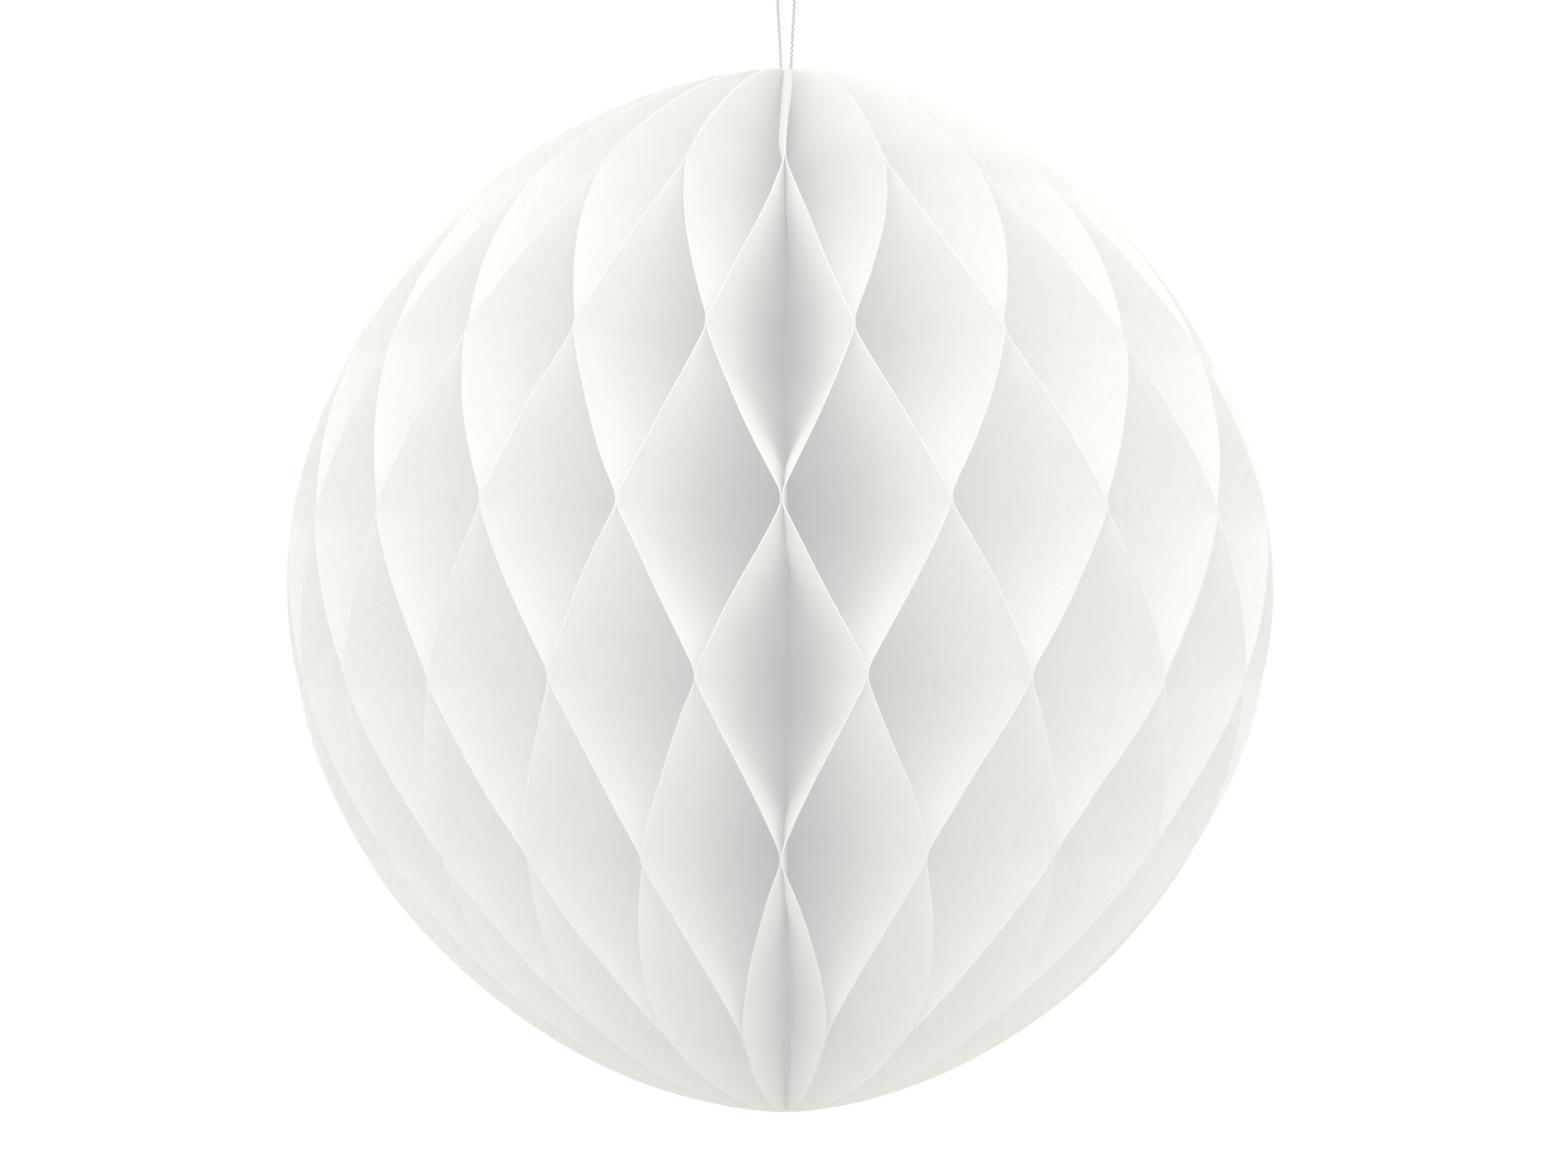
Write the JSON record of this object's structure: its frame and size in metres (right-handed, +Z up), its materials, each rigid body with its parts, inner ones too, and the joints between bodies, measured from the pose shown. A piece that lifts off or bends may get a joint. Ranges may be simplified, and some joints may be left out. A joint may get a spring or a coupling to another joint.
{
  "type": "honeycomb paper ball",
  "caption": "Round hanging ornament of half-disc paper leaves glued at alternate heights into open diamond cells, on a looped twisted cord.",
  "frame": {"origin": "top of the cord loop, on the ball's upright axis, where the ball hangs", "axes": "+Z up along the spine of the ball, -Y towards the viewer of the picture, +X to the right of the picture"},
  "size_m": [0.0935, 0.0936, 0.1247],
  "materials": {
    "paper": "matt warm white craft paper, thin enough to glow where light comes through",
    "cord": "white three-ply twisted cord"
  },
  "bodies": {
    "root": {"leaf_01": "paper", "leaf_02": "paper", "leaf_03": "paper", "leaf_04": "paper", "leaf_05": "paper", "leaf_06": "paper", "leaf_07": "paper", "leaf_08": "paper", "leaf_09": "paper", "leaf_10": "paper", "leaf_11": "paper", "leaf_12": "paper", "leaf_13": "paper", "leaf_14": "paper", "leaf_15": "paper", "leaf_16": "paper", "leaf_17": "paper", "leaf_18": "paper", "leaf_19": "paper", "leaf_20": "paper", "leaf_21": "paper", "leaf_22": "paper", "leaf_23": "paper", "leaf_24": "paper", "leaf_25": "paper", "leaf_26": "paper", "leaf_27": "paper", "leaf_28": "paper", "leaf_29": "paper", "leaf_30": "paper", "leaf_31": "paper", "leaf_32": "paper", "leaf_33": "paper", "leaf_34": "paper", "leaf_35": "paper", "leaf_36": "paper", "leaf_37": "paper", "leaf_38": "paper", "leaf_39": "paper", "leaf_40": "paper", "hanging_cord": "cord"}
  },
  "joints": []
}
